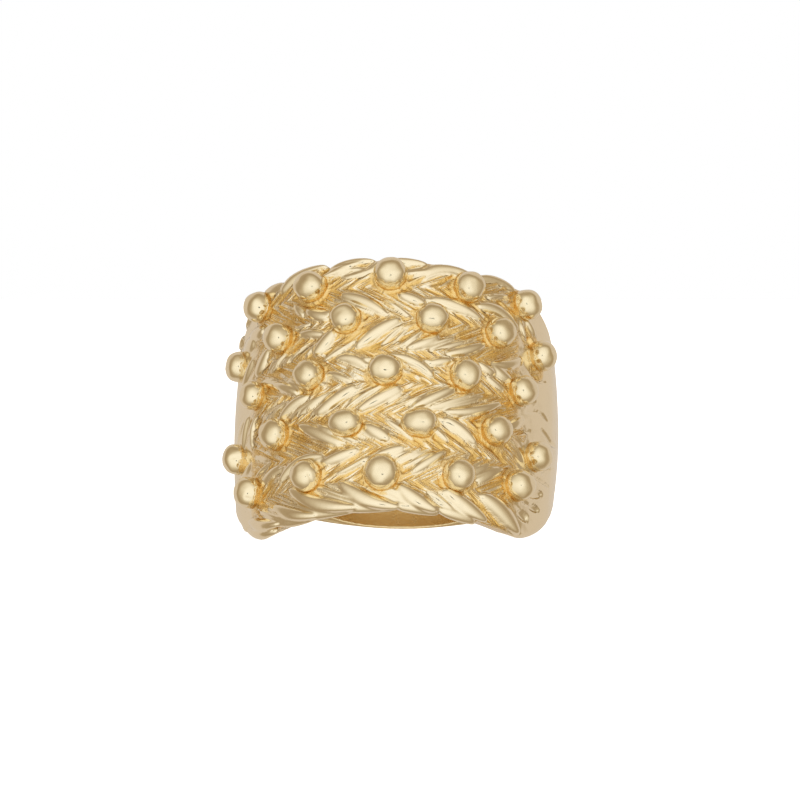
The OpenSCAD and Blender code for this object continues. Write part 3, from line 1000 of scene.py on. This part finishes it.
    def relief_tree(self) -> bpy.types.NodeTree:
        """Raises the charted strands on the band, as a Geometry Nodes tree.

        Returns:
            The tree, with named inputs for the strands, the studs and the sizes in millimetres.
        """
        inputs = {
            "Geometry": "Geometry", "Strands": "Object", "Creases": "Object", "Swellings": "Object",
            "Studs": "Object", "Material": "Material", "Depth": 0.7, "Fullness": 0.72,
            "Ridge Height": 0.28, "Ridge Distortion": 0.5, "Ridge Power": 2.0, "Crumb Scale": 1.3,
            "Crumb Roughness": 0.55, "Crumb Level": 0.36, "Crumb Height": 0.6, "Rim Notch": 0.45,
            "Notch From": 9.2, "Notch To": 10.2, "Worn Ground": 0.3, "Worn Share": 0.93,
            "Stud Radius": 1.2, "Ragged Scale": 2.2, "Raggedness": 0.4, "Collar Height": 0.4,
            "Collar From": 0.05, "Collar Reach": 0.38, "Collar Blend": 0.06, "Strand Blend": 0.04,
            "Moat Reach": 0.06, "Moat Share": 0.74, "Polish Rise": 0.14, "Softness": 1, "Plain Share": 0.6,
            "Wall Polish": 0.4, "Wall Rise": 0.3, "Clear From": 0.15, "Clear To": 0.5,
        }
        graph, given = NodeGraph.group("Plaited relief", TreeKind.GEOMETRY, inputs, ("Geometry",))
        chart = graph.kept("chart", "FLOAT_VECTOR")
        worn, share, outside = (graph.kept(name) for name in ("worn", "share", "outside"))
        struck = self.struck_height(graph, given["Strands"], chart, given["Fullness"])
        rough = self.cast_floor(graph, given, chart)
        ground = ((given["Worn Ground"] - rough) * worn).scaled(given["Worn Share"], rough)
        ragged = graph.noise(chart, given["Ragged Scale"], detail=2.0)
        jagged = ragged.scaled(given["Raggedness"], given["Raggedness"] * -0.5)
        uneven = self.stud_edge(graph, given, chart) + jagged
        collar = uneven.ranged((given["Collar From"], given["Collar Reach"]), (given["Collar Height"], 0.0))
        banked = graph.math("SMOOTH_MAX", ground, collar, given["Collar Blend"])
        raised = graph.math("SMOOTH_MAX", struck, banked, given["Strand Blend"])
        moat = uneven.ranged((given["Moat Reach"] * -1.0, given["Moat Reach"]), (given["Moat Share"], 1.0))
        polished = (struck - banked).ranged((0.0, given["Polish Rise"]))
        geometry = given["Geometry"]
        for name, value in (("raised", raised * moat), ("lustre", polished * moat)):
            even = graph.value("GeometryNodeBlurAttribute", {
                "Value": value, "Iterations": given["Softness"]}, data_type="FLOAT")
            geometry = graph.store(geometry, name, even)
        raised, lustre = graph.kept("raised"), graph.kept("lustre")
        groove, swelling = (
            self.struck_height(graph, given[name], chart, 1.0) for name in ("Creases", "Swellings"))
        relief = (raised - given["Depth"]) * share
        amount = (relief - (groove - swelling) * outside) * MM
        offset = graph.vector("SCALE", graph.kept("facing", "FLOAT_VECTOR"), amount)
        moved = graph.value("GeometryNodeSetPosition", {"Geometry": geometry, "Offset": offset})
        plain = share.ranged((0.0, given["Plain Share"]), (1.0, 0.0))
        smoothed = graph.math("MAXIMUM", lustre, graph.math("MAXIMUM", plain, worn))
        polish = (smoothed - given["Wall Polish"]) * outside + given["Wall Polish"]
        # The relief's height as a share; where it is low the finish paints shade with a darker gold
        rise = (raised / given["Depth"] - given["Wall Rise"]) * outside + given["Wall Rise"]
        clear = outside * uneven.ranged((given["Clear From"], given["Clear To"]))
        for name, value in (("polish", polish), ("rise", rise), ("streaky", clear)):
            moved = graph.store(moved, name, value)
        return graph.dress(moved, given["Material"])

    def build(self, material: bpy.types.Material) -> bpy.types.Object:
        """Builds the casting and puts it in the part's place.

        Args:
            material: the casting's finish.

        Returns:
            The finished piece.
        """
        rng = np.random.default_rng(self.seed)
        charted = self.lobes() + [strand for row in PLAIT_ROWS for strand in row + self.ridges(row, rng)]
        return grow(self.band(), self.relief_tree(), {
            "Strands": self.paths("strand_paths", charted, self.sizes.plait_depth),
            "Creases": self.paths("crease_paths", CREASES, 1.0),
            "Swellings": self.paths("swelling_paths", SWELLINGS, 1.0),
            "Studs": self.stud_chart(), "Material": material, "Depth": self.sizes.plait_depth})


@dataclass
class Studs:
    """The field of round studs, each a ball half sunk between the plaits, with a flatter top."""

    place: RingPlace
    sizes: BandSizes
    subdivisions: int = 5
    top_share: float = 0.98

    def on_band(self, angle: float, height: float, above: float) -> tuple[np.ndarray, np.ndarray]:
        """A charted place above the crests and the way it faces, in the ring's own frame.

        Args:
            angle: degrees from the middle of the head.
            height: millimetres on the chart.
            above: millimetres above the crests.

        Returns:
            The point in millimetres, and the outward direction.
        """
        lifted = height + self.sizes.plait_lift
        r = float(self.sizes.sagged_r(np.array(angle), np.array(lifted))) + above
        turn = math.radians(angle)
        around = np.array([math.sin(turn), -math.cos(turn), 0.0])
        return around * r + np.array([0.0, 0.0, lifted]), around

    def seats(self) -> bpy.types.Object:
        """The studs' middles, with the way each faces, its radii, its lean and its satin as attributes.

        Returns:
            A mesh of loose points.
        """
        points, facing, radii, lean, satin = [], [], [], [], []
        for angle, height, diameter, width, tall, drawn, dull in (s for row in STUD_ROWS for s in row):
            point, outward = self.on_band(angle, height, self.sizes.stud_seat)
            points.append(point)
            facing.append(outward)
            radii.append(np.array([width, tall, self.top_share]) * diameter / 2 * MM)
            lean.append(drawn)
            satin.append(dull)
        return new_mesh_object("ring_studs", self.place.points(np.array(points)),
                               facing=self.place.directions(np.array(facing)), radii=np.array(radii),
                               lean=np.array(lean), satin=np.array(satin))

    def marks(self) -> bpy.types.Object:
        """The short lines at which the studs' tops are dented.

        Returns:
            A mesh of edges.
        """
        view = PhotoView()
        ends = []
        for row, number, *shares in STUD_MARKS:
            angle, height, diameter = STUD_ROWS[row][number][:3]
            middle = self.on_band(angle, height, self.sizes.stud_seat)[0]
            for right, up in (shares[:2], shares[2:]):
                ends.append(middle + view.on_ball(right, up) * diameter / 2)
        edges = [(i, i + 1) for i in range(0, len(ends), 2)]
        return new_mesh_object("stud_marks", self.place.points(np.array(ends)), edges=edges)

    @staticmethod
    def ball(graph: NodeGraph, given: dict[str, Flow]) -> Flow:
        """One stud of radius 1, slightly squarer than a ball, which keeps its lift and its left side.

        Args:
            graph: the Geometry Nodes tree.
            given: the tree's inputs by name.

        Returns:
            The stud's geometry.
        """
        ball = graph.value("GeometryNodeMeshIcoSphere", {
            "Radius": 1.0, "Subdivisions": given["Subdivisions"]})
        own = graph.position()
        right, _, up = graph.all_of("ShaderNodeSeparateXYZ", {0: own})
        held = graph.store(ball, "left_side", graph.math("MINIMUM", right, 0.0) * -1.0)
        held = graph.store(held, "lift", up)
        aside = graph.vector("LENGTH", graph.vector("MULTIPLY", own, (1.0, 1.0, 0.0)))
        power = given["Squareness"]
        total = graph.math("POWER", aside, power) + graph.math("POWER", graph.math("ABSOLUTE", up), power)
        widened = graph.math("POWER", total, graph.math("DIVIDE", -1.0, power))
        return graph.value("GeometryNodeSetPosition", {
            "Geometry": held, "Position": graph.vector("SCALE", own, widened)})

    def setting_tree(self) -> bpy.types.NodeTree:
        """Puts a stud on each seat, as a Geometry Nodes tree.

        Returns:
            The tree, with named inputs for the sizes in millimetres and the shares of a stud's radius.
        """
        inputs = {
            "Geometry": "Geometry", "Marks": "Object", "Material": "Material", "Subdivisions": 5,
            "Ring Axis": (0.0, 0.0, 1.0), "Squareness": 2.3, "Unevenness": 0.2, "Wave Scale": 0.8,
            "Lean Reach": 1.2, "Dent Depth": 0.13, "Dent Reach": 0.24, "Ragged Scale": 2.4,
            "Raggedness": 0.5, "Polished From": -0.05, "Polish Edge": 0.05, "Foot Roughness": 0.1,
            "Foot Level": 0.62, "Foot Rise": 0.9, "Least Rise": 0.05,
        }
        graph, given = NodeGraph.group("Stud setting", TreeKind.GEOMETRY, inputs, ("Geometry",))
        facing = graph.kept("facing", "FLOAT_VECTOR")
        align = "FunctionNodeAlignRotationToVector"
        upright = graph.value(align, {"Vector": given["Ring Axis"]}, axis="Y")
        turned = graph.value(align, {"Rotation": upright, "Vector": facing}, axis="Z", pivot_axis="Y")
        placed = graph.value("GeometryNodeInstanceOnPoints", {
            "Points": given["Geometry"], "Instance": self.ball(graph, given), "Rotation": turned,
            "Scale": graph.kept("radii", "FLOAT_VECTOR")})
        whole = graph.value("GeometryNodeRealizeInstances", {"Geometry": placed})
        where = graph.position()
        in_mm = graph.vector("SCALE", where, 1.0 / MM)
        wave = graph.value("ShaderNodeTexNoise", {
            "Vector": in_mm, "Scale": given["Wave Scale"], "Detail": 1.0}, "Color")
        centred = graph.vector("SUBTRACT", wave, (0.5, 0.5, 0.5))
        waved = graph.vector("SCALE", centred, given["Unevenness"] * MM)
        drawn = graph.kept("left_side") * graph.kept("lean")
        left = graph.vector("SCALE", (-1.0, 0.0, 0.0), drawn * (given["Lean Reach"] * MM))
        apart = graph.value("GeometryNodeProximity", {
            "Geometry": graph.mesh_of(given["Marks"]), "Sample Position": where}, "Distance",
            target_element="EDGES") / MM
        dent = apart.ranged((0.0, given["Dent Reach"]), (given["Dent Depth"], 0.0))
        pressed = graph.vector("SCALE", facing, dent * -MM)
        ragged = graph.noise(in_mm, given["Ragged Scale"], detail=3.0)
        polished_from = given["Polished From"] + given["Raggedness"] * 0.5
        above = ragged.scaled(given["Raggedness"], graph.kept("lift")) - polished_from
        shown = above.ranged((given["Polish Edge"] * -1.0, given["Polish Edge"]))
        rough = (ragged - given["Foot Level"]) * (given["Foot Roughness"] * MM)
        foot = graph.vector("SCALE", graph.value("GeometryNodeInputNormal"), rough * shown.rest())
        shift = graph.vector("ADD", graph.vector("ADD", waved, left), graph.vector("ADD", pressed, foot))
        marked = graph.store(whole, "polish", shown)
        moved = graph.value("GeometryNodeSetPosition", {"Geometry": marked, "Offset": shift})
        # Low on the stud's unpolished foot, where the finish paints shade with a darker gold
        rise = ragged.scaled(given["Foot Rise"], shown + given["Least Rise"])
        risen = graph.store(graph.store(moved, "rise", rise), "outside", 1.0)
        return graph.dress(risen, given["Material"])

    def build(self, material: bpy.types.Material) -> bpy.types.Object:
        """Builds all studs as one piece.

        Args:
            material: the studs' finish.

        Returns:
            The finished piece.
        """
        return grow(self.seats(), self.setting_tree(), {
            "Marks": self.marks(), "Material": material, "Subdivisions": self.subdivisions,
            "Ring Axis": tuple(self.place.axis)})


@dataclass
class Studio:
    """The white table, the light round it and the camera at the photograph's angle.

    The camera's distance and aim, its view's width and half the table's side are in millimetres, and the
    clip distances are in metres.
    """

    place: RingPlace
    distance: float = 388.0
    view_width: float = 62.0
    sensor: float = 36.0
    aim_right: float = 0.27
    aim_up: float = 2.74
    clip: tuple[float, float] = (0.01, 20.0)
    floor_half: float = 3000.0
    table_white: float = 0.9
    table_roughness: float = 0.6

    def toward_camera(self) -> Vector:
        """The direction from the ring to the camera, in the row frame."""
        return Vector(self.place.directions(PhotoView().toward()))

    def camera(self) -> None:
        """Sets the level camera where the photograph was taken from."""
        data = bpy.data.cameras.new("camera")
        data.sensor_width = self.sensor
        data.lens = self.sensor * self.distance / self.view_width
        data.clip_start, data.clip_end = self.clip
        camera = bpy.data.objects.new("camera", data)
        bpy.context.scene.collection.objects.link(camera)
        toward = self.toward_camera()
        right = Vector((0, 0, 1)).cross(toward).normalized()
        up = toward.cross(right)
        aim = (toward * self.distance + right * self.aim_right + up * self.aim_up) * MM
        camera.location = Vector(self.place.centre) + aim
        camera.rotation_euler = toward.to_track_quat("Z", "Y").to_euler()
        bpy.context.scene.camera = camera

    def floor(self) -> None:
        """Lays the white table under the ring."""
        r = self.floor_half * MM
        corners = np.array([(-r, -r, 0), (r, -r, 0), (r, r, 0), (-r, r, 0)], float)
        floor = new_mesh_object("table", corners, faces=[(0, 1, 2, 3)])
        material = bpy.data.materials.new("white_table")
        material.use_nodes = True
        shader = material.node_tree.nodes["Principled BSDF"]
        looks = {"Base Color": (*[self.table_white] * 3, 1.0), "Roughness": self.table_roughness,
                 "Emission Color": (1.0, 1.0, 1.0, 1.0), "Emission Strength": 1.0}
        for name, value in looks.items():
            shader.inputs[name].default_value = value
        floor.data.materials.append(material)
        floor.visible_glossy = False

    def light(self) -> None:
        """Lights the ring with a tent: white round the camera, warm and dim at the sides, pale behind."""
        world = bpy.data.worlds.new("tent")
        world.use_nodes = True
        bpy.context.scene.world = world
        graph = NodeGraph(world.node_tree)
        graph.tree.nodes.clear()
        way = graph.vector("NORMALIZE", graph.value("ShaderNodeTexCoord", output="Generated"))
        facing = graph.vector("DOT_PRODUCT", way, tuple(self.toward_camera()))
        ramp = graph.add("ShaderNodeValToRGB", {0: facing.ranged((-1.0, 1.0), eased=False)})
        # columns: degrees from the camera's direction, colour
        table = [
            (180, (0.68, 0.61, 0.55)), (111, (0.68, 0.6, 0.53)), (103, (0.45, 0.36, 0.25)),
            (86, (0.41, 0.32, 0.215)), (68, (0.6, 0.52, 0.4)), (50, (0.88, 0.83, 0.74)),
            (34, (1.03, 1.0, 0.95)), (7, (1.08, 1.07, 1.04)), (6, (0.0, 0.0, 0.0)), (0, (0.0, 0.0, 0.0)),
        ]
        stops = ramp.color_ramp.elements
        for angle, colour in table[1:-1]:
            stops.new((math.cos(math.radians(angle)) + 1) / 2).color = (*colour, 1.0)
        stops[0].color = (*table[0][1], 1.0)
        stops[-1].color = (*table[-1][1], 1.0)
        ramp.color_ramp.interpolation = "LINEAR"
        lit = graph.value("ShaderNodeBackground", {"Color": Flow(graph, ramp.outputs[0]), "Strength": 1.0})
        seen = graph.value("ShaderNodeBackground", {"Color": (1.0, 1.0, 1.0, 1.0), "Strength": 1.0})
        by_camera = graph.value("ShaderNodeLightPath", output="Is Camera Ray")
        mixed = graph.value("ShaderNodeMixShader", {0: by_camera, 1: lit, 2: seen})
        graph.add("ShaderNodeOutputWorld", {"Surface": mixed})

    def build(self) -> None:
        """Builds the camera, the table and the light."""
        self.camera()
        self.floor()
        self.light()
        bpy.context.scene.view_settings.view_transform = "Standard"


def main() -> None:
    """Builds the ring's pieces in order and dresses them."""
    logging.basicConfig(level=logging.INFO, format="%(name)s: %(message)s")
    place = RingPlace.from_record(frame["record"])
    sizes = BandSizes(hole_r=place.hole_r)
    Studio(place).build()
    groups = cast_skin_group(), streak_group()
    cast_gold = GoldFinish("cast_gold", polished=(0.93, 0.82, 0.59))
    # The studs' darker gold is painted shade on their feet
    stud_gold = GoldFinish(
        "stud_gold", cast=(0.88, 0.68, 0.36), painted_shade=(0.78, 0.52, 0.19), polished_roughness=0.05)
    pieces = [
        Casting(place, sizes).build(cast_gold.build(*groups)),
        Studs(place, sizes).build(stud_gold.build(*groups)),
    ]
    for piece in pieces:
        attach(piece, "root")
        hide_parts("ring")
        log.info("%s: %d vertices, %d faces", piece.name, len(piece.data.vertices), len(piece.data.polygons))


if __name__ == "__main__":
    main()
